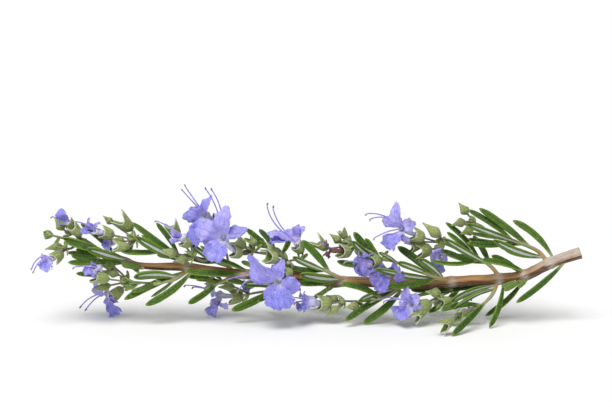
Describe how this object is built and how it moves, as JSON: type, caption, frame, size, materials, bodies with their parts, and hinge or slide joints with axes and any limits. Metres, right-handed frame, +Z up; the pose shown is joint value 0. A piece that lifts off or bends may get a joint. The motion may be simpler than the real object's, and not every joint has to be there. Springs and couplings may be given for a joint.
{
  "type": "rosemary sprig",
  "caption": "Cut sprig of flowering rosemary lying on its side: a woody stem with leafy side shoots, green calyces and blue-violet two-lipped flowers.",
  "frame": {"origin": "middle of the sprig's bounding box, at the height of the surface that it lies on", "axes": "+X along the stem towards its cut end, +Y to the side away from most of the flowers, +Z up from the surface"},
  "size_m": [0.2097, 0.0469, 0.0537],
  "materials": {
    "bark": "matt, light to reddish brown with dark lengthwise fissures and grey woolly streaks",
    "leaf": "leathery dark green above, white-felted underneath between rolled margins",
    "calyx": "downy yellow-green with purple-brown veins",
    "petal": "thin, soft blue-violet petals, paler at the throat"
  },
  "bodies": {
    "root": {"flower_01": "petal", "flower_02": "petal", "flower_03": "petal", "flower_04": "petal", "flower_05": "petal", "flower_06": "petal", "flower_07": "petal", "flower_08": "petal", "flower_09": "petal", "flower_10": "petal", "flower_11": "petal", "flower_12": "petal", "flower_13": "petal", "flower_14": "petal", "flower_15": "petal", "flower_stalk_01": "calyx", "flower_stalk_02": "calyx", "flower_stalk_03": "calyx", "flower_stalk_04": "calyx", "flower_stalk_05": "calyx", "flower_stalk_06": "calyx", "flower_stalk_07": "calyx", "flower_stalk_08": "calyx", "flower_stalk_09": "calyx", "flower_stalk_10": "calyx", "flower_stalk_11": "calyx", "flower_stalk_12": "calyx", "flower_stalk_13": "calyx", "flower_stalk_14": "calyx", "flower_stalk_15": "calyx", "flower_stalk_16": "calyx", "main_stem": "bark", "side_shoot_01": "leaf", "side_shoot_02": "leaf", "side_shoot_03": "leaf", "side_shoot_04": "leaf", "side_shoot_05": "leaf", "side_shoot_06": "leaf", "side_shoot_07": "leaf", "side_shoot_08": "leaf", "side_shoot_09": "leaf", "side_shoot_10": "leaf", "side_shoot_11": "leaf", "side_shoot_12": "leaf", "side_shoot_13": "leaf", "side_shoot_14": "leaf", "side_shoot_15": "leaf", "side_shoot_16": "leaf", "stem_leaf_01": "leaf", "stem_leaf_02": "leaf", "stem_leaf_03": "leaf", "stem_leaf_04": "leaf", "stem_leaf_05": "leaf", "stem_leaf_06": "leaf", "stem_leaf_07": "leaf", "stem_leaf_08": "leaf", "stem_leaf_09": "leaf", "stem_leaf_10": "leaf", "stem_leaf_11": "leaf", "stem_leaf_12": "leaf"}
  },
  "joints": []
}
